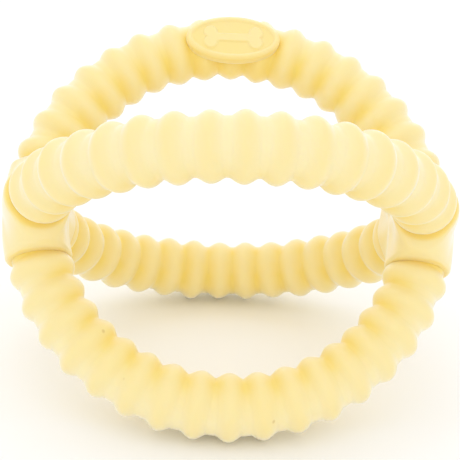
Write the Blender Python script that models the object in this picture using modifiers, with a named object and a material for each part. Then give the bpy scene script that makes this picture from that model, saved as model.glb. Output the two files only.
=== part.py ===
"""Crossed-ring chew toy: two ribbed rubber rings of one size that cross at two smooth hubs.

Metres, +Z up, front at -Y. +X runs through both hubs. One ring leans back and the other leans forward,
so the toy stands on the lowest ribs of its two lower arcs. The origin is on the ground, under the middle.
"""

import math

import bmesh
import bpy
from mathutils import Matrix, Vector

# Driving dimensions
OVERALL_WIDTH = 0.120  # across both hubs, outside
CREST_SHARE = 0.168  # radius over the ribs, as a share of the ring's radius
VALLEY_SHARE = 0.139  # radius in the grooves, as a share of the ring's radius
LEAN = math.radians(43.1)  # from the ground to each ring's plane
RIBS_PER_ARC = 17
HUB_HALF_ANGLE = math.radians(14.4)  # round the ring, from a hub's middle to its end face
GAP = 0.0003  # between surfaces that touch

# Sizes that follow
RING_RADIUS = OVERALL_WIDTH / 2 / (1 + CREST_SHARE)
CREST_RADIUS = CREST_SHARE * RING_RADIUS
VALLEY_RADIUS = VALLEY_SHARE * RING_RADIUS
CENTRE = Vector((0, 0, RING_RADIUS * math.sin(LEAN) + CREST_RADIUS))
GAP_ANGLE = GAP / RING_RADIUS
ARC_START = HUB_HALF_ANGLE + GAP_ANGLE
RIB_PITCH = (math.pi - 2 * ARC_START) / RIBS_PER_ARC
STATIONS_PER_RIB = 4

# The round spigot on each end of an arc, and the blind socket that it is bonded into
SPIGOT_RADIUS = 0.0040
SPIGOT_ANGLE = math.radians(7)
SPIGOT_CHAMFER = 0.0006
SOCKET_OVERRUN = math.radians(1)
SOCKET_STATIONS = 4

# The hub is a coarse cage, rounded off by subdivision
SECTION_SHRINK = 0.93  # a square section's radius once rounded, as a share of its half width
FACE_SHRINK = 0.97  # the same for the hub's broad outer face
HUB_HALF_WIDTH = CREST_RADIUS / SECTION_SHRINK
HUB_HALF_DEPTH = CREST_RADIUS / FACE_SHRINK
HUB_SECTIONS = (  # (degrees short of the end face, share of the full half width)
    (2.6, 1.0),
    (0.9, 0.97),
    (0.0, 0.87),
)
SUBDIVISIONS = 2
ALIGNED = 0.9  # least cosine between a block's face and the ring that leaves through it

# The oval badge on the side of the upper rear arc, and the saddle that it is bonded to
BADGE_HALF_WIDTH = 0.25 * RING_RADIUS
BADGE_HALF_HEIGHT = 0.133 * RING_RADIUS
BADGE_OFFSET = -0.0013  # of its middle, along the ring's radius
BADGE_TOP = 0.0095  # of its rim, over the ring's plane
BADGE_ROOT = 0.0030
SADDLE_RADIUS = 0.0060
SADDLE_HALF_ANGLE = 0.4  # radians round the ring, past the ends of the badge
SADDLE_STATIONS = 13
RIM_WIDTH = 0.0011
RELIEF = 0.0005  # from the badge's flat face to the top of its rim and of its bone
BONE_ROOT = 0.0004  # how far the bone reaches down into the badge
BONE_HALF_LENGTH = 0.0062  # to the middle of its knobs
BONE_SHAFT = 0.0012  # half its thickness
KNOB_RADIUS = 0.0019
KNOB_OFFSET = 0.0015
KNOB_STEPS = 7
ELLIPSE_SIDES = 40

TUBE_RESOLUTION = 6  # 16 sides

X = Vector((1, 0, 0))
RUBBER = (0.93, 0.80, 0.40, 1.0)
ROUGHNESS = 0.55
SMOOTH_BELOW = math.radians(40)  # between faces that are shaded as one surface
WELD = 1e-6


class Ring:
    """One ring's plane, which holds the X axis and the slope of the ring's upper half."""

    def __init__(self, slope):
        self.slope = slope
        self.side = X.cross(slope)  # square to the plane
        if self.side.z < 0:
            self.side.negate()

    def radial(self, angle):
        """From the ring's centre towards a point at this angle from +X."""
        return X * math.cos(angle) + self.slope * math.sin(angle)

    def point(self, angle):
        return CENTRE + RING_RADIUS * self.radial(angle)


LEANING_BACK = Ring(Vector((0, math.cos(LEAN), math.sin(LEAN))))
LEANING_FORWARD = Ring(Vector((0, -math.cos(LEAN), math.sin(LEAN))))


def start():
    """Empties the scene and makes the collections for the toy and for its cutters."""
    for obj in list(bpy.data.objects):
        bpy.data.objects.remove(obj)
    folders = []
    for name in ("crossed_ring_toy", "cutters"):
        folder = bpy.data.collections.new(name)
        bpy.context.scene.collection.children.link(folder)
        folders.append(folder)
    return folders


TOY, CUTTERS = start()


def rubber():
    """Soft pale yellow rubber."""
    material = bpy.data.materials.new("rubber")
    material.use_nodes = True
    shader = material.node_tree.nodes["Principled BSDF"]
    shader.inputs["Base Color"].default_value = RUBBER
    shader.inputs["Roughness"].default_value = ROUGHNESS
    shader.inputs["Metallic"].default_value = 0.0
    return material


MATERIAL = rubber()


def add_part(obj):
    """Puts an object in the toy, in rubber and shaded smooth."""
    TOY.objects.link(obj)
    obj.data.materials.append(MATERIAL)
    if obj.type == "MESH":
        obj.data.shade_smooth()
        obj.data.set_sharp_from_angle(angle=SMOOTH_BELOW)
    return obj


def add_cutter(obj):
    CUTTERS.objects.link(obj)
    obj.hide_render = True
    obj.display_type = "WIRE"
    return obj


def tube(name, points, radii):
    """A closed tube along these points, with its own radius at each."""
    curve = bpy.data.curves.new(name, "CURVE")
    curve.dimensions = "3D"
    curve.bevel_depth = 1.0
    curve.bevel_resolution = TUBE_RESOLUTION
    curve.use_fill_caps = True
    spline = curve.splines.new("POLY")
    spline.points.add(len(points) - 1)
    for control, place, radius in zip(spline.points, points, radii):
        control.co = (*place, 1.0)
        control.radius = radius
    return bpy.data.objects.new(name, curve)


def as_mesh(curve_object):
    """The same solid as a mesh with its caps welded on. The curve is removed."""
    CUTTERS.objects.link(curve_object)
    evaluated = curve_object.evaluated_get(bpy.context.evaluated_depsgraph_get())
    mesh = bpy.data.meshes.new_from_object(evaluated)
    shape = bmesh.new()
    shape.from_mesh(mesh)
    bmesh.ops.remove_doubles(shape, verts=shape.verts, dist=WELD)
    shape.to_mesh(mesh)
    shape.free()
    name, placing = curve_object.name, curve_object.matrix_world.copy()
    bpy.data.objects.remove(curve_object)
    solid = bpy.data.objects.new(name, mesh)
    solid.matrix_world = placing
    return solid


def combine(obj, other, operation):
    """An exact Boolean: DIFFERENCE cuts the other solid away, and UNION joins it on."""
    modifier = obj.modifiers.new(other.name, "BOOLEAN")
    modifier.operation = operation
    modifier.solver = "EXACT"
    modifier.object = other


def rib_radius(share):
    """The tube's radius at a share of one pitch: groove at 0, crest at a half, groove at 1."""
    swell = 0.5 - 0.5 * math.cos(2 * math.pi * share)
    return VALLEY_RADIUS + (CREST_RADIUS - VALLEY_RADIUS) * swell


def spigot_profile():
    """(angle, radius) along the spigot at an arc's start, from its tip to its root."""
    tip = ARC_START - SPIGOT_ANGLE
    return [
        (tip, SPIGOT_RADIUS - SPIGOT_CHAMFER),
        (tip + SPIGOT_CHAMFER / RING_RADIUS, SPIGOT_RADIUS),
        (tip + SPIGOT_ANGLE / 2, SPIGOT_RADIUS),
        (ARC_START - GAP_ANGLE / 4, SPIGOT_RADIUS),
    ]


def arc(name, ring, upward):
    """One ribbed half of a ring, as a curve, with a spigot on each end. upward is 1 or -1."""
    spigot = spigot_profile()
    ribs = []
    for station in range(RIBS_PER_ARC * STATIONS_PER_RIB + 1):
        share = station / STATIONS_PER_RIB
        ribs.append((ARC_START + RIB_PITCH * share, rib_radius(share)))
    far_spigot = [(math.pi - angle, radius) for angle, radius in reversed(spigot)]
    profile = spigot + ribs + far_spigot
    points = [ring.point(upward * angle) for angle, _ in profile]
    return tube(name, points, [radius for _, radius in profile])


def socket(name, ring, middle, upward):
    """The cutter for the blind socket on one side of the hub at this angle round the ring."""
    mouth = HUB_HALF_ANGLE + SOCKET_OVERRUN
    floor = HUB_HALF_ANGLE - SPIGOT_ANGLE - GAP_ANGLE
    turn = upward * math.cos(middle)
    points = []
    for station in range(SOCKET_STATIONS):
        angle = mouth + (floor - mouth) * station / (SOCKET_STATIONS - 1)
        points.append(ring.point(middle + turn * angle))
    return add_cutter(as_mesh(tube(name, points, [SPIGOT_RADIUS + GAP] * SOCKET_STATIONS)))


def sign(number):
    return math.copysign(1, number)


def draw_arm(cage, face, ring, middle, turn):
    """Extrudes one face of the hub's block along a ring, section by section, and keeps the last edge sharp."""
    crease = cage.edges.layers.float["crease_edge"]
    end = face
    for short, share in HUB_SECTIONS:
        centre = end.calc_center_median()
        end = bmesh.ops.extrude_discrete_faces(cage, faces=[end])["faces"][0]
        around = middle + turn * (HUB_HALF_ANGLE - math.radians(short))
        radial = ring.radial(around)
        for vertex in end.verts:
            offset = vertex.co - centre
            corner = sign(offset.dot(radial)) * radial + sign(offset.dot(ring.side)) * ring.side
            vertex.co = ring.point(around) + share * HUB_HALF_WIDTH * corner
    for edge in end.edges:
        edge[crease] = 1.0


def hub_cage(outward, middle):
    """A block where the rings cross, with an arm along each ring both ways."""
    cage = bmesh.new()
    cage.edges.layers.float.new("crease_edge")
    bmesh.ops.create_cube(cage, size=2)
    heart = CENTRE + RING_RADIUS * outward
    axes = (
        outward * HUB_HALF_DEPTH,
        LEANING_BACK.slope * HUB_HALF_WIDTH,
        LEANING_FORWARD.slope * HUB_HALF_WIDTH,
    )
    placing = Matrix.Translation(heart) @ Matrix(axes).transposed().to_4x4()
    cage.transform(placing)
    bmesh.ops.recalc_face_normals(cage, faces=cage.faces)
    for face in list(cage.faces):
        along = (face.calc_center_median() - heart).normalized()
        for ring in (LEANING_BACK, LEANING_FORWARD):
            if abs(along.dot(ring.slope)) > ALIGNED:
                draw_arm(cage, face, ring, middle, sign(along.dot(ring.slope)) * outward.x)
    return cage


def hub(name, outward_x):
    """The smooth crossing at one end of the X axis, with a socket for each of its four arcs."""
    middle = 0 if outward_x > 0 else math.pi
    cage = hub_cage(X * outward_x, middle)
    mesh = bpy.data.meshes.new(name)
    cage.to_mesh(mesh)
    cage.free()
    obj = bpy.data.objects.new(name, mesh)
    rounding = obj.modifiers.new("rounding", "SUBSURF")
    rounding.levels = rounding.render_levels = SUBDIVISIONS
    for end, ring, upward in (
        ("upper_rear", LEANING_BACK, 1),
        ("lower_front", LEANING_BACK, -1),
        ("upper_front", LEANING_FORWARD, 1),
        ("lower_rear", LEANING_FORWARD, -1),
    ):
        combine(obj, socket(f"{name}_{end}_socket", ring, middle, upward), "DIFFERENCE")
    return add_part(obj)


def badge_placing():
    """From the badge's own axes (width, height, thickness) to the toy's, at the ring's plane."""
    ring = LEANING_BACK
    origin = ring.point(math.pi / 2) + ring.slope * BADGE_OFFSET
    return Matrix.Translation(origin) @ Matrix((X, ring.slope, ring.side)).transposed().to_4x4()


def oval(name, inset, low, high):
    """An upright oval disc on the badge's axes, smaller than the badge's outline by this inset."""
    shape = bmesh.new()
    bmesh.ops.create_cone(
        shape, cap_ends=True, segments=ELLIPSE_SIDES, radius1=1, radius2=1, depth=high - low
    )
    half_width, half_height = BADGE_HALF_WIDTH - inset, BADGE_HALF_HEIGHT - inset
    bmesh.ops.scale(shape, vec=(half_width, half_height, 1), verts=shape.verts)
    bmesh.ops.translate(shape, vec=(0, 0, (high + low) / 2), verts=shape.verts)
    shape.transform(badge_placing())
    mesh = bpy.data.meshes.new(name)
    shape.to_mesh(mesh)
    shape.free()
    return bpy.data.objects.new(name, mesh)


def bone_outline():
    """A bone seen from above: two round knobs at each end of a straight shaft."""
    first = math.pi - math.asin((BONE_SHAFT - KNOB_OFFSET) / KNOB_RADIUS)
    last = -math.asin(KNOB_OFFSET / KNOB_RADIUS)
    quarter = []
    for step in range(KNOB_STEPS + 1):
        angle = first + (last - first) * step / KNOB_STEPS
        quarter.append(
            (
                BONE_HALF_LENGTH + KNOB_RADIUS * math.cos(angle),
                KNOB_OFFSET + KNOB_RADIUS * math.sin(angle),
            )
        )
    right = quarter + [(x, -y) for x, y in reversed(quarter[:-1])]
    return right + [(-x, -y) for x, y in right]


def bone():
    """The raised bone, as a flat outline extruded from under the badge's face to its rim's height."""
    curve = bpy.data.curves.new("bone", "CURVE")
    curve.dimensions = "2D"
    curve.fill_mode = "BOTH"
    curve.extrude = (RELIEF + BONE_ROOT) / 2
    outline = bone_outline()
    spline = curve.splines.new("POLY")
    spline.points.add(len(outline) - 1)
    for control, (x, y) in zip(spline.points, outline):
        control.co = (x, y, 0, 1)
    spline.use_cyclic_u = True
    obj = bpy.data.objects.new("bone", curve)
    obj.matrix_world = badge_placing() @ Matrix.Translation((0, 0, BADGE_TOP - curve.extrude))
    return add_cutter(as_mesh(obj))


def saddle_tube(name, radius):
    """A plain tube inside the ribs of the upper rear arc, under the badge."""
    points = []
    for station in range(SADDLE_STATIONS):
        share = 2 * station / (SADDLE_STATIONS - 1) - 1
        points.append(LEANING_BACK.point(math.pi / 2 + share * SADDLE_HALF_ANGLE))
    return add_cutter(as_mesh(tube(name, points, [radius] * SADDLE_STATIONS)))


def badge():
    """A blank oval pad with a raised rim and a raised bone, hollowed to sit on the arc's saddle."""
    obj = oval("badge", 0, BADGE_ROOT, BADGE_TOP)
    above = BADGE_TOP + RELIEF
    recess = add_cutter(oval("badge_recess", RIM_WIDTH, BADGE_TOP - RELIEF, above))
    combine(obj, recess, "DIFFERENCE")
    combine(obj, bone(), "UNION")
    combine(obj, saddle_tube("badge_saddle", SADDLE_RADIUS + GAP), "DIFFERENCE")
    return add_part(obj)


def badge_seat():
    """The cutter for the saddle in the arc: the badge's outline down to the saddle's radius."""
    seat = add_cutter(oval("badge_seat", -GAP, BADGE_ROOT - GAP, BADGE_TOP))
    combine(seat, saddle_tube("arc_saddle", SADDLE_RADIUS), "DIFFERENCE")
    return seat


def main():
    upper_rear = add_part(as_mesh(arc("upper_rear_arc", LEANING_BACK, 1)))
    combine(upper_rear, badge_seat(), "DIFFERENCE")
    add_part(arc("lower_front_arc", LEANING_BACK, -1))
    add_part(arc("upper_front_arc", LEANING_FORWARD, 1))
    add_part(arc("lower_rear_arc", LEANING_FORWARD, -1))
    hub("right_hub", 1)
    hub("left_hub", -1)
    badge()


main()
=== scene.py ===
"""Crossed-ring chew toy: the looks of two ribbed rubber rings that cross at smooth hubs.

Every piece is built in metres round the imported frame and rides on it.
"""

import math

import bmesh
import bpy
import numpy as np
from bpy.props import FloatProperty, FloatVectorProperty, IntProperty, PointerProperty
from bpy.types import Operator, Panel, PropertyGroup
from mathutils import Matrix, Vector


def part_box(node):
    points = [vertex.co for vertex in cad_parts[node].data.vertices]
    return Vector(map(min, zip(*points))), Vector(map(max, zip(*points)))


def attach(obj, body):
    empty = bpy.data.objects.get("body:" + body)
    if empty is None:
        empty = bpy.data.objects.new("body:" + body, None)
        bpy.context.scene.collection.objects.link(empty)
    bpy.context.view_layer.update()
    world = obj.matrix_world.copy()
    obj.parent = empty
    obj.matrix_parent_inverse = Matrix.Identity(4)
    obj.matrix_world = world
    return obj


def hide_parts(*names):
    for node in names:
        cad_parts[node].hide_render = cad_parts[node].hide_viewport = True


bl_info = {
    "name": "Crossed Ring Chew Toy",
    "version": (1, 0, 0),
    "blender": (4, 5, 0),
    "location": "View3D > Sidebar > Ring Toy",
    "description": "Builds a ribbed rubber chew toy of two crossed rings, with its rubber and studio",
    "category": "Object",
}

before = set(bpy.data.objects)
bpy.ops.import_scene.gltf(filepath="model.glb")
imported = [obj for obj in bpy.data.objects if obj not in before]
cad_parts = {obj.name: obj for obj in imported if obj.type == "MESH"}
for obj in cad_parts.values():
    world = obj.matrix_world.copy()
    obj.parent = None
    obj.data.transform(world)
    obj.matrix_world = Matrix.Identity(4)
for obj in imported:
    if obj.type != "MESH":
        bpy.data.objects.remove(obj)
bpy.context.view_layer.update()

BODY = "root"
X = Vector((1, 0, 0))


def frame_width():
    """Outside width over both hubs."""
    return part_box("right_hub")[1].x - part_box("left_hub")[0].x


def frame_centre():
    """The middle of both rings: halfway up the hubs."""
    low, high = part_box("right_hub")
    return Vector((0, 0, (low.z + high.z) / 2))


# Each arc's node, the ring it is part of, and whether it is the ring's upper or lower half.
ARCS = (
    ("upper_rear_arc", "back", 1),
    ("lower_front_arc", "back", -1),
    ("upper_front_arc", "forward", 1),
    ("lower_rear_arc", "forward", -1),
)
HUB_OVERRUN = math.radians(0.6)  # of a hub's arm, along the ring, past the foot of the first rib

# The rubber that each slot is finished in.
FINISHES = {"rubber": "ribbed_rubber", "hub_rubber": "smooth_rubber", "badge_rubber": "badge_face"}


# ------------------------------------------------------------------ settings


class RingSizes(PropertyGroup):
    """The rings, their ribs and the hubs where they cross."""

    width: FloatProperty(
        name="Width",
        description="Outside width over both hubs",
        default=frame_width(),
        unit="LENGTH",
    )
    hub_share: FloatProperty(
        name="Hub",
        description="Tube radius at the hubs, as a share of the ring's radius",
        default=0.1705,
    )
    crest_share: FloatProperty(
        name="Crest",
        description="Tube radius over the ribs, as a share of the ring's radius",
        default=0.1674,
    )
    rib_share: FloatProperty(
        name="Rib height",
        description="Height of a rib over its grooves, as a share of the ring's radius",
        default=0.0294,
    )
    rib_half_width_share: FloatProperty(
        name="Rib half width",
        description="From a rib's crest to its foot, as a share of the ring's radius",
        default=0.066,
    )
    ribs: IntProperty(name="Ribs", description="Ribs on each arc", default=17)
    rib_starts: FloatVectorProperty(
        name="Rib starts",
        description="From a hub's middle to the first rib's foot, on each arc in the order of ARCS",
        default=[math.radians(angle) for angle in (13.4, 14.4, 15.4, 12.6)],
        size=4,
        unit="ROTATION",
    )
    lean: FloatProperty(
        name="Lean",
        description="From the ground to each ring's plane",
        default=math.radians(43.1),
        subtype="ANGLE",
    )
    drift: FloatProperty(
        name="Drift",
        description="How far each ring's plane sits off the middle of the hubs",
        default=0.00024,
        unit="LENGTH",
    )
    lip: FloatProperty(
        name="Lip",
        description="Rounding of the edge where a hub drops into its groove",
        default=0.0011,
        unit="LENGTH",
    )
    web: FloatProperty(
        name="Web",
        description="How full the corners between a hub's arms are",
        default=0.014,
        unit="LENGTH",
    )


class BadgeSizes(PropertyGroup):
    """The blank oval badge and the bone raised on it."""

    half_width_share: FloatProperty(
        name="Half width", description="As a share of the ring's radius", default=0.25
    )
    half_height_share: FloatProperty(
        name="Half height", description="As a share of the ring's radius", default=0.133
    )
    bone_length: FloatProperty(
        name="Bone",
        description="From the bone's middle to the middle of its knobs",
        default=0.0062,
        unit="LENGTH",
    )
    relief: FloatProperty(
        name="Relief",
        description="Height of the rim and of the bone over the badge's face",
        default=0.0005,
        unit="LENGTH",
    )


class RubberLook(PropertyGroup):
    """The finish of the natural rubber."""

    crest_colour: FloatVectorProperty(
        name="Crests",
        description="Colour of the ribs and the smooth faces",
        default=(0.945, 0.785, 0.37),
        subtype="COLOR",
    )
    # Painted shade: the golden colour mixed in where grooves, hub ends and badge are in shade, and
    # faintly in random clouds
    groove_shade_colour: FloatVectorProperty(
        name="Grooves",
        description="Colour at the bottom of the grooves",
        default=(0.95, 0.71, 0.13),
        subtype="COLOR",
    )
    # Painted light: the paler colour of the broad grooves on the outside of the ring
    painted_light_colour: FloatVectorProperty(
        name="Pale",
        description="Colour where the grooves are broad",
        default=(0.97, 0.86, 0.55),
        subtype="COLOR",
    )
    roughness: FloatProperty(
        name="Roughness", description="How matte the rubber is", default=0.36
    )
    glow: FloatProperty(
        name="Depth of glow",
        description="How far light travels inside the rubber",
        default=0.0008,
        unit="LENGTH",
    )


class StudioSettings(PropertyGroup):
    """Camera and lights."""

    azimuth: FloatProperty(
        name="Azimuth",
        description="Round from straight in front of the toy",
        default=math.radians(-3.74),
        subtype="ANGLE",
    )
    elevation: FloatProperty(
        name="Elevation",
        description="Camera above the horizon",
        default=math.radians(24.65),
        subtype="ANGLE",
    )
    roll: FloatProperty(
        name="Roll",
        description="Turn of the camera about its own line of sight",
        default=math.radians(3.31),
        subtype="ANGLE",
    )
    distance: FloatProperty(
        name="Distance",
        description="Camera to the middle of the rings, as a multiple of the ring's radius",
        default=6.755,
    )
    lens: FloatProperty(
        name="Lens", description="Focal length on a 36 mm sensor", default=102.07
    )
    key: FloatProperty(
        name="Key light", description="Power of the softbox overhead, in watts", default=0.3
    )
    fill: FloatProperty(
        name="Surround", description="Strength of the white surround", default=1.03
    )


SETTINGS = {
    "ring_sizes": RingSizes,
    "badge_sizes": BadgeSizes,
    "rubber_look": RubberLook,
    "studio_settings": StudioSettings,
}


# ------------------------------------------------------------------ geometry


TINY = 1e-9


class Ring:
    """One ring's plane, which holds the X axis and the slope of the ring's upper half."""

    def __init__(self, toy, slope, drift):
        self.slope = slope
        self.side = X.cross(slope)
        if self.side.z < 0:
            self.side.negate()
        self.radius = toy.radius
        self.centre = toy.centre + drift * self.side

    def radial(self, angle):
        return X * math.cos(angle) + self.slope * math.sin(angle)

    def point(self, angle):
        return self.centre + self.radius * self.radial(angle)

    def tube(self, points):
        """Each point's distance and direction from the tube's core line."""
        offset = points - np.array(self.centre)
        along = offset @ np.array(X)
        up = offset @ np.array(self.slope)
        aside = offset @ np.array(self.side)
        reach = np.hypot(along, up)
        outward = reach - self.radius
        distance = np.maximum(np.hypot(outward, aside), TINY)
        radial = (along[:, None] * np.array(X) + up[:, None] * np.array(self.slope)) / reach[:, None]
        direction = (outward[:, None] * radial + aside[:, None] * np.array(self.side)) / distance[:, None]
        return distance, direction


class Toy:
    """The toy's sizes, all worked out from its settings."""

    def __init__(self, context):
        sizes = context.scene.ring_sizes
        self.radius = sizes.width / 2 / (1 + sizes.hub_share)
        self.hub = sizes.hub_share * self.radius
        self.crest = sizes.crest_share * self.radius
        self.rib_height = sizes.rib_share * self.radius
        self.valley = self.crest - self.rib_height
        self.rib_half_width = sizes.rib_half_width_share * self.radius
        self.ribs = sizes.ribs
        self.lip = sizes.lip
        self.web = sizes.web
        self.centre = frame_centre()
        flat, rise = math.cos(sizes.lean), math.sin(sizes.lean)
        self.rings = {
            "back": Ring(self, Vector((0, flat, rise)), -sizes.drift),
            "forward": Ring(self, Vector((0, -flat, rise)), sizes.drift),
        }
        self.starts = {(ring, upward): start for (_, ring, upward), start in zip(ARCS, sizes.rib_starts)}

    def hub_end(self, ring, upward):
        """Round the ring, from a hub's middle to the end of its arm."""
        return self.starts[ring, upward] + HUB_OVERRUN


def smooth(edge_low, edge_high, value):
    """0 below the low edge, 1 above the high edge and an even slope between them."""
    share = np.clip((value - edge_low) / (edge_high - edge_low), 0, 1)
    return share * share * (3 - 2 * share)


def add_piece(name, mesh, slot, replaced):
    """Adds a finished piece to the scene, riding on the frame in place of its CAD node."""
    obj = bpy.data.objects.new(name, mesh)
    bpy.context.scene.collection.objects.link(obj)
    mesh.shade_smooth()
    mesh.materials.append(bpy.data.materials[FINISHES[slot]])
    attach(obj, BODY)
    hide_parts(replaced)
    return obj


def store(mesh, name, values):
    """Keeps a number for each vertex, which the rubber reads."""
    attribute = mesh.attributes.new(name, "FLOAT", "POINT")
    attribute.data.foreach_set("value", np.asarray(values, np.float32))


def grid_mesh(name, rows):
    """A closed tube through rows of points (rows, points round, 3), with its two ends filled."""
    count, round_count = rows.shape[:2]
    index = np.arange(count * round_count).reshape(count, round_count)
    near, far = index[:-1], index[1:]
    quads = np.stack([near, np.roll(near, -1, 1), np.roll(far, -1, 1), far], -1).reshape(-1, 4)
    faces = quads.tolist() + [index[0][::-1].tolist(), index[-1].tolist()]
    mesh = bpy.data.meshes.new(name)
    mesh.from_pydata(rows.reshape(-1, 3).tolist(), [], faces)
    return mesh


# ------------------------------------------------------------------ ribbed arcs

SAMPLES_PER_RIB = 22
SAMPLES_ROUND = 96
SPIGOT_ROWS = 5
SPIGOT_STEP = math.radians(0.5)
HEIGHT_SPREAD = 0.035  # of the ribs, as a share of a rib's height
RIB_POWER = 1.5  # how sharply a rib's foot meets the groove

# Where painted shade and painted light go on the arcs. Inner runs from 0 outside the ring to 1 inside it.
PAINTED_SHADE_INNER = (0.35, 0.9)
INMOST = (0.93, 1.0)
INMOST_FADE = 0.3
PAINTED_SHADE_BY_HUB = (0.9, 0.0)  # in ribs from the hub
# painted light: a paler colour in the broad grooves outside the ring
PAINTED_LIGHT_INNER = (0.45, 0.0)
PAINTED_SHADE_BY_BADGE = (0.34, 0.24)  # in radians round the ring from the badge's middle
PAINTED_SHADE_UNDER_BADGE = (0.15, 0.5)
CREST_FADE = 0.5

SAG_DEPTH = 0.00006
SAG_WAVES = (  # radians per metre along X, Y and Z, then where the wave starts
    ((310, 140, 0), 0.4),
    ((0, 270, -190), 1.7),
    ((120, 0, 330), 2.9),
)


def arc_angles(toy, start):
    """The angles of an arc's rows, from inside one hub to inside the other."""
    count = toy.ribs * SAMPLES_PER_RIB
    rows = start + (math.pi - 2 * start) * np.arange(count + 1) / count
    spigot = start - SPIGOT_STEP * np.arange(SPIGOT_ROWS, 0, -1)
    return np.concatenate([spigot, rows, math.pi - spigot[::-1]])


def ribs(toy, start, angles, round_angles, seed, under_badge):
    """(radius, gold, pale) for each row and each point round the tube.

    A rib is as long on the inside of the ring as on the outside, so the grooves are broad outside
    and narrow inside. The second number is painted shade: a deeper golden colour in the narrow parts of
    the grooves, in the grooves beside the hubs and under the badge, where they are in shade. The third
    is painted light: a paler colour in the broad parts of the grooves on the outside of the ring.
    """
    chance = np.random.default_rng(seed)
    heights = 1 + HEIGHT_SPREAD * chance.standard_normal(toy.ribs)
    pitch = (math.pi - 2 * start) / toy.ribs
    share = (angles - start) / pitch
    nearest = np.clip(np.floor(share), 0, toy.ribs - 1).astype(int)
    to_crest = (share - nearest - 0.5) * pitch
    span = toy.radius + toy.crest * np.cos(round_angles)
    along = np.abs(to_crest[:, None] * span[None, :]) / toy.rib_half_width
    swell = (1 - np.clip(along, 0, 1) ** 2) ** RIB_POWER
    radius = toy.valley + toy.rib_height * swell * heights[nearest][:, None]
    inner = (0.5 - 0.5 * np.cos(round_angles))[None, :]
    # painted shade: golden colour deep in the narrow grooves inside the ring and in the grooves beside
    # the hubs
    by_hub = smooth(*PAINTED_SHADE_BY_HUB, np.minimum(share, toy.ribs - share))[:, None]
    inner_shade = smooth(*PAINTED_SHADE_INNER, inner) * (1 - INMOST_FADE * smooth(*INMOST, inner))
    gold = (1 - swell) * np.maximum(inner_shade, by_hub)
    if under_badge:
        # painted shade: golden colour on the tube in the shade under the badge
        close = smooth(*PAINTED_SHADE_BY_BADGE, np.abs(angles - math.pi / 2))[:, None]
        gold = np.maximum(gold, close * smooth(*PAINTED_SHADE_UNDER_BADGE, inner) * (1 - CREST_FADE * swell))
    # painted light: paler colour in the broad grooves on the outside of the ring
    pale = (1 - swell) * smooth(*PAINTED_LIGHT_INNER, inner) * (1 - by_hub)
    return radius, gold, pale


def sag(points):
    """The slight unevenness of a soft moulding, in metres along the surface's normal."""
    return SAG_DEPTH * sum(np.sin(points @ np.array(waves) + start) for waves, start in SAG_WAVES)


def build_arc(name, toy, ring, upward, start, seed, under_badge):
    angles = arc_angles(toy, start)
    turns = 2 * np.pi * np.arange(SAMPLES_ROUND) / SAMPLES_ROUND
    radius, gold, pale = ribs(toy, start, angles, turns, seed, under_badge)
    slope = np.array(ring.slope) * upward
    radial = np.cos(angles)[:, None] * np.array(X) + np.sin(angles)[:, None] * slope
    core = np.array(ring.centre) + toy.radius * radial
    direction = (
        np.cos(turns)[None, :, None] * radial[:, None, :]
        + np.sin(turns)[None, :, None] * np.array(ring.side)[None, None, :]
    )
    rows = core[:, None, :] + radius[:, :, None] * direction
    rows += sag(rows)[..., None] * direction
    mesh = grid_mesh(name, rows)
    face_out(mesh)
    # the painted shade and the painted light, kept on the mesh for the rubber to read
    store(mesh, "gold", gold.ravel())
    store(mesh, "pale", pale.ravel())
    return mesh


def face_out(mesh):
    """Turns a closed mesh's faces outward."""
    shape = bmesh.new()
    shape.from_mesh(mesh)
    bmesh.ops.recalc_face_normals(shape, faces=shape.faces)
    shape.to_mesh(mesh)
    shape.free()


class RINGTOY_OT_arcs(Operator):
    """Builds the four ribbed arcs"""

    bl_idname = "ringtoy.arcs"
    bl_label = "Ribbed Arcs"

    def execute(self, context):
        toy = Toy(context)
        for seed, (node, ring, upward) in enumerate(ARCS):
            start = toy.starts[ring, upward]
            under_badge = node == "upper_rear_arc"
            mesh = build_arc(f"{node}_rubber", toy, toy.rings[ring], upward, start, seed, under_badge)
            add_piece(f"{node}_rubber", mesh, "rubber", node)
        return {"FINISHED"}


# ------------------------------------------------------------------ hubs

HUB_SUBDIVISIONS = 5
ARM_LAST_SECTION = math.radians(2.6)  # the length, round the ring, of an arm's last section
END_LEAN = 0.5  # of an arm's end: 0 is parallel to the hub's middle, 1 is square to the ring
ALIGNED = 0.9  # least cosine between a block's face and the ring that leaves through it
FULL_TURN = 1.2  # from where the corner between two arms is filled over the whole web
LEAST_REACH = 1e-5
SPREADS = 24
SPREAD_SHARE = 0.7
SETTLE_ROUNDS = 6
SETTLE_SHARE = 0.8
PROBE = 2e-5  # how far to each side the surface's slope is felt
LEAST_STEEPNESS = 0.25

# Painted shade on the hubs: golden colour on their end faces, close to the arc that leaves them.
HUB_PAINTED_SHADE = 0.8
PAINTED_SHADE_FROM_LIP = -0.4  # as a share of the lip
PAINTED_SHADE_NEAR = (1.12, 0.98)  # from the tube's core line, as shares of the hub's own radius


def sign(number):
    return math.copysign(1, number)


def draw_arm(cage, face, toy, ring, middle, turn, end_angle):
    """Extrudes one face of the hub's block along a ring, to the end of the hub's arm."""
    end = face
    for angle in (end_angle - ARM_LAST_SECTION, end_angle):
        centre = end.calc_center_median()
        end = bmesh.ops.extrude_discrete_faces(cage, faces=[end])["faces"][0]
        around = middle + turn * angle
        radial = ring.radial(around)
        for vertex in end.verts:
            offset = vertex.co - centre
            corner = sign(offset.dot(radial)) * radial + sign(offset.dot(ring.side)) * ring.side
            vertex.co = ring.point(around) + toy.hub * corner


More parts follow.
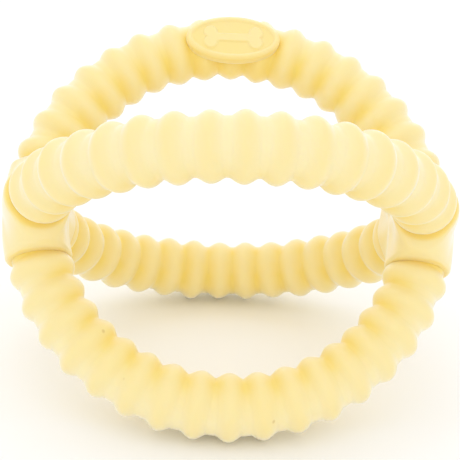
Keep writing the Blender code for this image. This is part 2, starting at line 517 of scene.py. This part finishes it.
def hub_cage(name, toy, outward):
    """A block where the rings cross, with an arm along each ring both ways."""
    middle = 0 if outward.x > 0 else math.pi
    cage = bmesh.new()
    bmesh.ops.create_cube(cage, size=2 * toy.hub)
    heart = toy.centre + toy.radius * outward
    back, forward = toy.rings.values()
    axes = Matrix((outward, back.slope, forward.slope)).transposed()
    cage.transform(Matrix.Translation(heart) @ axes.to_4x4())
    for face in list(cage.faces):
        along = (face.calc_center_median() - heart).normalized()
        for key, ring in toy.rings.items():
            if abs(along.dot(ring.slope)) > ALIGNED:
                upward = sign(along.dot(ring.slope))
                draw_arm(cage, face, toy, ring, middle, upward * outward.x, toy.hub_end(key, upward))
    mesh = bpy.data.meshes.new(name)
    cage.to_mesh(mesh)
    cage.free()
    return mesh


def subdivided(mesh):
    """The mesh after subdivision, as a new mesh."""
    obj = bpy.data.objects.new(mesh.name, mesh)
    bpy.context.scene.collection.objects.link(obj)
    modifier = obj.modifiers.new("fine", "SUBSURF")
    modifier.levels = modifier.render_levels = HUB_SUBDIVISIONS
    fine = bpy.data.meshes.new_from_object(obj.evaluated_get(bpy.context.evaluated_depsgraph_get()))
    bpy.data.objects.remove(obj)
    return fine


def joined(first, second, reach):
    """Two depths as one shape, with the corner between them filled over this reach."""
    share = np.clip(0.5 + 0.5 * (second - first) / reach, 0, 1)
    return second * (1 - share) + first * share - reach * share * (1 - share)


def trimmed(depth, past, rounding):
    """A depth cut off where past is above 0, with a rounded edge."""
    across, ahead = depth + rounding, past + rounding
    inner = np.minimum(np.maximum(across, ahead), 0)
    return inner + np.hypot(np.maximum(across, 0), np.maximum(ahead, 0)) - rounding


def past_ends(toy, points):
    """For each ring: how far each point is past the ends of the hub's arms."""
    past = []
    for key, ring in toy.rings.items():
        offset = points - np.array(ring.centre)
        along = np.abs(offset @ np.array(X))
        up = offset @ np.array(ring.slope)
        end = np.where(up > 0, toy.hub_end(key, 1), toy.hub_end(key, -1))
        square = end * END_LEAN
        rise = np.abs(up) - np.sin(end) * toy.radius
        past.append(rise * np.cos(square) - (along - np.cos(end) * toy.radius) * np.sin(square))
    return past


def hub_depth(toy, points):
    """How far each point is outside the hub's surface."""
    (far_back, back), (far_forward, forward) = (ring.tube(points) for ring in toy.rings.values())
    turn = 1 - np.sum(back * forward, axis=1)
    reach = toy.web * smooth(0, FULL_TURN, turn) + LEAST_REACH
    depth = joined(far_back - toy.hub, far_forward - toy.hub, reach)
    for past in past_ends(toy, points):
        depth = trimmed(depth, past, toy.lip)
    return depth - sag(points)


def spread_out(links, points):
    """Moves each point most of the way to the middle of its neighbours."""
    ends = np.concatenate([links, links[:, ::-1]])
    count = np.bincount(ends[:, 0], minlength=len(points))
    middle = [np.bincount(ends[:, 0], points[ends[:, 1], axis], len(points)) / count for axis in range(3)]
    return points + SPREAD_SHARE * (np.stack(middle, 1) - points)


def settle(toy, points, rounds):
    """Moves points onto the hub's surface."""
    for _ in range(rounds):
        depth = hub_depth(toy, points)
        slope = np.empty_like(points)
        for axis in range(3):
            shift = np.zeros(3)
            shift[axis] = PROBE
            ahead = hub_depth(toy, points + shift)
            behind = hub_depth(toy, points - shift)
            slope[:, axis] = (ahead - behind) / (2 * PROBE)
        steepness = np.maximum((slope * slope).sum(1), LEAST_STEEPNESS)
        points = points - SETTLE_SHARE * (depth / steepness)[:, None] * slope
    return points


def build_hub(name, toy, outward):
    mesh = subdivided(hub_cage(name, toy, outward))
    points = np.empty(len(mesh.vertices) * 3)
    mesh.vertices.foreach_get("co", points)
    points = settle(toy, points.reshape(-1, 3), SETTLE_ROUNDS)
    links = np.empty(len(mesh.edges) * 2, int)
    mesh.edges.foreach_get("vertices", links)
    for _ in range(SPREADS):
        points = settle(toy, spread_out(links.reshape(-1, 2), points), 1)
    points = settle(toy, points, SETTLE_ROUNDS)
    mesh.vertices.foreach_set("co", points.astype(np.float32).ravel())
    face_out(mesh)
    # painted shade: golden colour where each end face drops into the first groove
    gold = np.zeros(len(points))
    for ring, past in zip(toy.rings.values(), past_ends(toy, points)):
        distance, _ = ring.tube(points)
        near = smooth(*PAINTED_SHADE_NEAR, distance / toy.hub)
        gold = np.maximum(gold, smooth(PAINTED_SHADE_FROM_LIP * toy.lip, 0, past) * near)
    store(mesh, "gold", HUB_PAINTED_SHADE * gold)
    mesh.name = name
    return mesh


class RINGTOY_OT_hubs(Operator):
    """Builds the two smooth hubs"""

    bl_idname = "ringtoy.hubs"
    bl_label = "Hubs"

    def execute(self, context):
        toy = Toy(context)
        for node, outward in (("right_hub", X), ("left_hub", -X)):
            mesh = build_hub(f"{node}_rubber", toy, outward)
            add_piece(f"{node}_rubber", mesh, "hub_rubber", node)
        return {"FINISHED"}


# ------------------------------------------------------------------ badge

BADGE_ROWS = 76
BADGE_ROUND = 256
BADGE_OFFSET = -0.0013  # of its middle, along the ring's radius
BADGE_TOP = 0.0092  # of its rim, over the ring's plane
BADGE_ROOT = 0.0030
WALL_ROWS = 14
UNDERCUT = 0.24  # how much narrower the badge is at its root
UNDERCUT_SPAN = (0.32, 0.7)  # shares of the wall's height, from its top, that narrow
SHOULDER_ROUND = 0.0007
BEAD_INSET = 0.0011
BEAD_HALF = 0.00045
OUTER_DROP = 0.7  # of the face outside the rim's bead, as a share of the relief
ROW_POWER = 1.15  # crowds the rows towards the rim
KNOB_RADIUS = 0.0019
KNOB_OFFSET = 0.0015
BONE_SHAFT = 0.0012  # half its thickness
BONE_BLEND = 0.0008
BONE_EDGE = (-0.00035, 0.00025)
BONE_RISE = 0.9  # as a share of the relief
# painted shade on the badge: golden, more the further below the rim's top, most on its wall
BADGE_PAINTED_SHADE = 0.6


def bone_distance(x, y, half_length):
    """How far a point is outside a bone's outline."""
    beyond, above = np.abs(x) - half_length, np.abs(y) - BONE_SHAFT
    knobs = np.hypot(beyond, np.abs(y) - KNOB_OFFSET) - KNOB_RADIUS
    outside = np.hypot(np.maximum(beyond, 0), np.maximum(above, 0))
    bar = outside + np.minimum(np.maximum(beyond, above), 0)
    return joined(knobs, bar, BONE_BLEND)


def badge_height(sizes, x, y, inset):
    """The badge's top at a point of its plan, over the ring's plane."""
    bead = 1 - smooth(0, 2 * BEAD_HALF, np.abs(inset - BEAD_INSET))
    drop = np.where(inset < BEAD_INSET, OUTER_DROP, 1)
    face = BADGE_TOP - sizes.relief * drop
    height = face + (BADGE_TOP - face) * bead
    raised = 1 - smooth(*BONE_EDGE, bone_distance(x, y, sizes.bone_length))
    height = height + sizes.relief * BONE_RISE * raised
    corner = np.clip(1 - inset / SHOULDER_ROUND, 0, 1)
    return height - SHOULDER_ROUND * (1 - np.sqrt(np.maximum(1 - corner * corner, 0)))


def build_badge(name, toy, sizes):
    half_width = sizes.half_width_share * toy.radius
    half_height = sizes.half_height_share * toy.radius
    turns = 2 * np.pi * np.arange(BADGE_ROUND) / BADGE_ROUND
    shares = 1 - (1 - np.arange(1, BADGE_ROWS + 1) / BADGE_ROWS) ** ROW_POWER
    across = shares[:, None] * half_width * np.cos(turns)[None, :]
    up = shares[:, None] * half_height * np.sin(turns)[None, :]
    edge = np.hypot(half_width * np.cos(turns), half_height * np.sin(turns))[None, :]
    slant = half_width * half_height / np.hypot(
        half_height * np.cos(turns), half_width * np.sin(turns)
    )[None, :]
    inset = (1 - shares[:, None]) * np.minimum(edge, slant)
    top = badge_height(sizes, across, up, inset)
    rows = [np.stack([across, up, top], -1)]
    rim_low = top[-1].min()
    for step in range(1, WALL_ROWS + 1):
        share = step / WALL_ROWS
        narrowed = 1 - UNDERCUT * smooth(*UNDERCUT_SPAN, share)
        height = np.full(BADGE_ROUND, rim_low + (BADGE_ROOT - rim_low) * share)
        rows.append(np.stack([across[-1] * narrowed, up[-1] * narrowed, height], -1)[None])
    local = np.concatenate(rows)
    ring = toy.rings["back"]
    origin = ring.point(math.pi / 2) + ring.slope * BADGE_OFFSET
    axes = np.array((X, ring.slope, ring.side))
    mesh = grid_mesh(name, np.array(origin) + local @ axes)
    face_out(mesh)
    # painted shade: deeper golden colour the further below the top of the rim
    depth = (BADGE_TOP - local[..., 2]).ravel()
    store(mesh, "gold", BADGE_PAINTED_SHADE * np.clip(depth / (2 * sizes.relief), 0, 1))
    return mesh


class RINGTOY_OT_badge(Operator):
    """Builds the blank oval badge with its raised bone"""

    bl_idname = "ringtoy.badge"
    bl_label = "Badge"

    def execute(self, context):
        mesh = build_badge("badge_rubber", Toy(context), context.scene.badge_sizes)
        add_piece("badge_rubber", mesh, "badge_rubber", "badge")
        return {"FINISHED"}


# ------------------------------------------------------------------ rubber


class Value:
    """A shader socket in ordinary arithmetic."""

    def __init__(self, paint, socket):
        self.paint = paint
        self.socket = socket

    def math(self, operation, first, second):
        return self.paint.node("ShaderNodeMath", {"operation": operation}, {0: first, 1: second})

    def __add__(self, other):
        return self.math("ADD", self, other)

    __radd__ = __add__

    def __sub__(self, other):
        return self.math("SUBTRACT", self, other)

    def __rsub__(self, other):
        return self.math("SUBTRACT", other, self)

    def __mul__(self, other):
        return self.math("MULTIPLY", self, other)

    __rmul__ = __mul__


class Paint:
    """A material under construction."""

    def __init__(self, name):
        self.material = bpy.data.materials.new(name)
        self.material.use_nodes = True
        self.tree = self.material.node_tree
        self.shader = self.tree.nodes["Principled BSDF"]

    def node(self, kind, settings=None, sockets=None, output=0):
        """Adds a node, sets it up, feeds its sockets and returns one of its outputs."""
        made = self.tree.nodes.new(kind)
        for name, setting in (settings or {}).items():
            setattr(made, name, setting)
        for key, fed in (sockets or {}).items():
            self.feed(made.inputs[key], fed)
        return Value(self, made.outputs[output])

    def feed(self, socket, fed):
        if isinstance(fed, Value):
            self.tree.links.new(fed.socket, socket)
        else:
            socket.default_value = fed

    def mix(self, share, first, second):
        """A colour between two colours."""
        sockets = {"Factor": share, 6: first, 7: second}
        return self.node("ShaderNodeMix", {"data_type": "RGBA"}, sockets, output=2)

    def surface(self, **sockets):
        """Feeds the Principled shader's sockets, named with _ for each space."""
        for name, fed in sockets.items():
            self.feed(self.shader.inputs[name.replace("_", " ")], fed)


def colour(rgb):
    return (*rgb, 1.0)


def noise(paint, place, scale, detail):
    sockets = {"Vector": place, "Scale": scale, "Detail": detail}
    return paint.node("ShaderNodeTexNoise", {}, sockets)


def spread(paint, value, low, high):
    """Stretches low to high over 0 to 1, with an even slope."""
    settings = {"interpolation_type": "SMOOTHSTEP"}
    return paint.node("ShaderNodeMapRange", settings, {"Value": value, "From Min": low, "From Max": high})


def stored(paint, name):
    """A number kept on the mesh for each vertex, or 0 on a mesh without it."""
    return paint.node("ShaderNodeAttribute", {"attribute_name": name}, output=2)


# Scales are per metre, and a band is the stretch of a noise over which a thing sets in.
CLOUD_SCALE = 60
CLOUD_BAND = (0.45, 0.75)
CLOUD_GOLD = 0.12
CLOUD_ROUGHNESS = 0.10
PAINTED_LIGHT_SHARE = 0.5
PAINTED_SHADE_SHARE = 0.8
SPECK_SCALE = 130
SPECK_BAND = (0.03, 0.09)
SPECK_PATCH_SCALE = 55
SPECK_PATCH_BAND = (0.66, 0.7)
SPECK_COLOUR = (0.62, 0.42, 0.12)
SPECK_SHARE = 0.45
SPECK_PIT = 1.5
SKIN_FINE = 2600
SKIN_COARSE = 420
SKIN_DEPTH = 0.00012
SOFT_FINISH = {
    "Subsurface_Weight": 0.2,
    "Subsurface_Radius": (1.0, 0.8, 0.3),
    "Sheen_Weight": 1.0,
    "Sheen_Roughness": 0.35,
    "Coat_Weight": 0.2,
    "Coat_Roughness": 0.25,
    "IOR": 1.5,
}
GRAINS = {"ribbed_rubber": 0.35, "smooth_rubber": 0.55, "badge_face": 0.3}


def make_rubber(name, look, grain):
    """Matte natural rubber: painted golden shade in the narrow grooves, painted light in the broad ones,
    faint clouds, a few specks, fine skin.
    """
    paint = Paint(name)
    place = paint.node("ShaderNodeTexCoord", output=3)
    clouds = noise(paint, place, CLOUD_SCALE, 3)
    # painted light: paler colour in the broad grooves
    pale = stored(paint, "pale") * PAINTED_LIGHT_SHARE
    painted_light_mix = paint.mix(pale, colour(look.crest_colour), colour(look.painted_light_colour))
    # painted shade read from the mesh, plus faint random clouds of golden tone in the rubber
    gold = stored(paint, "gold") * PAINTED_SHADE_SHARE + spread(paint, clouds, *CLOUD_BAND) * CLOUD_GOLD
    painted_shade_mix = paint.mix(gold, painted_light_mix, colour(look.groove_shade_colour))
    dots = paint.node(
        "ShaderNodeTexVoronoi",
        {"feature": "F1"},
        {"Vector": place, "Scale": SPECK_SCALE, "Randomness": 1.0},
    )
    patches = spread(paint, noise(paint, place, SPECK_PATCH_SCALE, 0), *SPECK_PATCH_BAND)
    speck = (1 - spread(paint, dots, *SPECK_BAND)) * patches
    skin = noise(paint, place, SKIN_FINE, 2) * 0.5 + noise(paint, place, SKIN_COARSE, 2) * 0.5
    relief = skin - speck * SPECK_PIT
    bump = paint.node("ShaderNodeBump", {}, {"Strength": grain, "Distance": SKIN_DEPTH, "Height": relief})
    paint.surface(
        Base_Color=paint.mix(speck * SPECK_SHARE, painted_shade_mix, colour(SPECK_COLOUR)),
        Roughness=look.roughness + CLOUD_ROUGHNESS * (clouds - 0.5),
        Normal=bump,
        Subsurface_Scale=look.glow,
        **SOFT_FINISH,
    )


class RINGTOY_OT_rubber(Operator):
    """Makes the rubber of the arcs, the hubs and the badge"""

    bl_idname = "ringtoy.rubber"
    bl_label = "Rubber"

    def execute(self, context):
        for name, grain in GRAINS.items():
            make_rubber(name, context.scene.rubber_look, grain)
        return {"FINISHED"}


# ------------------------------------------------------------------ studio

SENSOR_WIDTH = 36
CAMERA_SHIFT = (-0.0003, -0.0256)
CLIP_START = 0.01
FLOOR_SIZE = 8
FLOOR_TONES = ((0.96, 0.965, 0.985), (0.97, 0.975, 0.995))
FLOOR_SCALE = 3
FLOOR_BAND = (0.3, 0.7)
FLOOR_ROUGHNESS = 0.9
SOFTBOXES = (  # name, place, width and height, power as a share of the key light's
    ("overhead", (-0.15, 0.15, 0.7), (0.6, 0.5), 1.0),
    ("front", (0.1, -0.6, 0.45), (0.5, 0.4), 0.5),
    ("behind", (0.1, 0.7, 0.35), (1.0, 0.5), 1.5),
)


def pointed(obj, back, right, up, place):
    """Puts a camera or light at a place, with these axes."""
    obj.matrix_world = Matrix.Translation(place) @ Matrix((right, up, back)).transposed().to_4x4()


def add_camera(toy, studio):
    flat = math.cos(studio.elevation)
    back = Vector(
        (
            math.sin(studio.azimuth) * flat,
            -math.cos(studio.azimuth) * flat,
            math.sin(studio.elevation),
        )
    )
    right = Vector((math.cos(studio.azimuth), math.sin(studio.azimuth), 0))
    up = back.cross(right)
    rolled_right = right * math.cos(studio.roll) + up * math.sin(studio.roll)
    rolled_up = up * math.cos(studio.roll) - right * math.sin(studio.roll)
    data = bpy.data.cameras.new("camera")
    data.lens = studio.lens
    data.sensor_width = SENSOR_WIDTH
    data.shift_x, data.shift_y = CAMERA_SHIFT
    data.clip_start = CLIP_START
    camera = bpy.data.objects.new("camera", data)
    bpy.context.scene.collection.objects.link(camera)
    pointed(camera, back, rolled_right, rolled_up, toy.centre + back * studio.distance * toy.radius)
    bpy.context.scene.camera = camera


def add_softbox(name, place, target, size, power):
    data = bpy.data.lights.new(name, "AREA")
    data.shape = "RECTANGLE"
    data.size, data.size_y = size
    data.energy = power
    light = bpy.data.objects.new(name, data)
    light.location = place
    light.rotation_euler = (target - place).to_track_quat("-Z", "Y").to_euler()
    bpy.context.scene.collection.objects.link(light)


def add_floor():
    bpy.ops.mesh.primitive_plane_add(size=FLOOR_SIZE, location=(0, 0, 0))
    floor = bpy.context.object
    floor.name = "floor"
    paint = Paint("floor_paper")
    place = paint.node("ShaderNodeTexCoord", output=3)
    tone = spread(paint, noise(paint, place, FLOOR_SCALE, 2), *FLOOR_BAND)
    paper = paint.mix(tone, *(colour(shade) for shade in FLOOR_TONES))
    paint.surface(Base_Color=paper, Roughness=FLOOR_ROUGHNESS)
    floor.data.materials.append(paint.material)


def add_surround(strength):
    world = bpy.data.worlds.new("surround")
    bpy.context.scene.world = world
    world.use_nodes = True
    background = world.node_tree.nodes["Background"]
    background.inputs["Color"].default_value = (1, 1, 1, 1)
    background.inputs["Strength"].default_value = strength


class RINGTOY_OT_studio(Operator):
    """Sets up the floor, the lights and the camera"""

    bl_idname = "ringtoy.studio"
    bl_label = "Studio"

    def execute(self, context):
        toy = Toy(context)
        studio = context.scene.studio_settings
        context.scene.view_settings.view_transform = "Standard"
        add_floor()
        add_surround(studio.fill)
        for name, place, size, share in SOFTBOXES:
            add_softbox(name, Vector(place), toy.centre, size, studio.key * share)
        add_camera(toy, studio)
        return {"FINISHED"}


# ------------------------------------------------------------------ add-on


class RINGTOY_PT_panel(Panel):
    """The toy's settings and its building steps"""

    bl_idname = "RINGTOY_PT_panel"
    bl_label = "Ring Toy"
    bl_space_type = "VIEW_3D"
    bl_region_type = "UI"
    bl_category = "Ring Toy"

    def draw(self, context):
        for group_name in SETTINGS:
            group = getattr(context.scene, group_name)
            box = self.layout.box()
            for name in group.__annotations__:
                box.prop(group, name)
        for step in STEPS:
            self.layout.operator(step.bl_idname)


STEPS = (RINGTOY_OT_rubber, RINGTOY_OT_arcs, RINGTOY_OT_hubs, RINGTOY_OT_badge, RINGTOY_OT_studio)
CLASSES = (*SETTINGS.values(), *STEPS, RINGTOY_PT_panel)


def register():
    for item in CLASSES:
        bpy.utils.register_class(item)
    for name, group in SETTINGS.items():
        setattr(bpy.types.Scene, name, PointerProperty(type=group))


def unregister():
    for name in SETTINGS:
        delattr(bpy.types.Scene, name)
    for item in reversed(CLASSES):
        bpy.utils.unregister_class(item)


def main():
    register()
    bpy.ops.ringtoy.rubber()
    bpy.ops.ringtoy.arcs()
    bpy.ops.ringtoy.hubs()
    bpy.ops.ringtoy.badge()
    bpy.ops.ringtoy.studio()


if __name__ == "__main__":
    main()
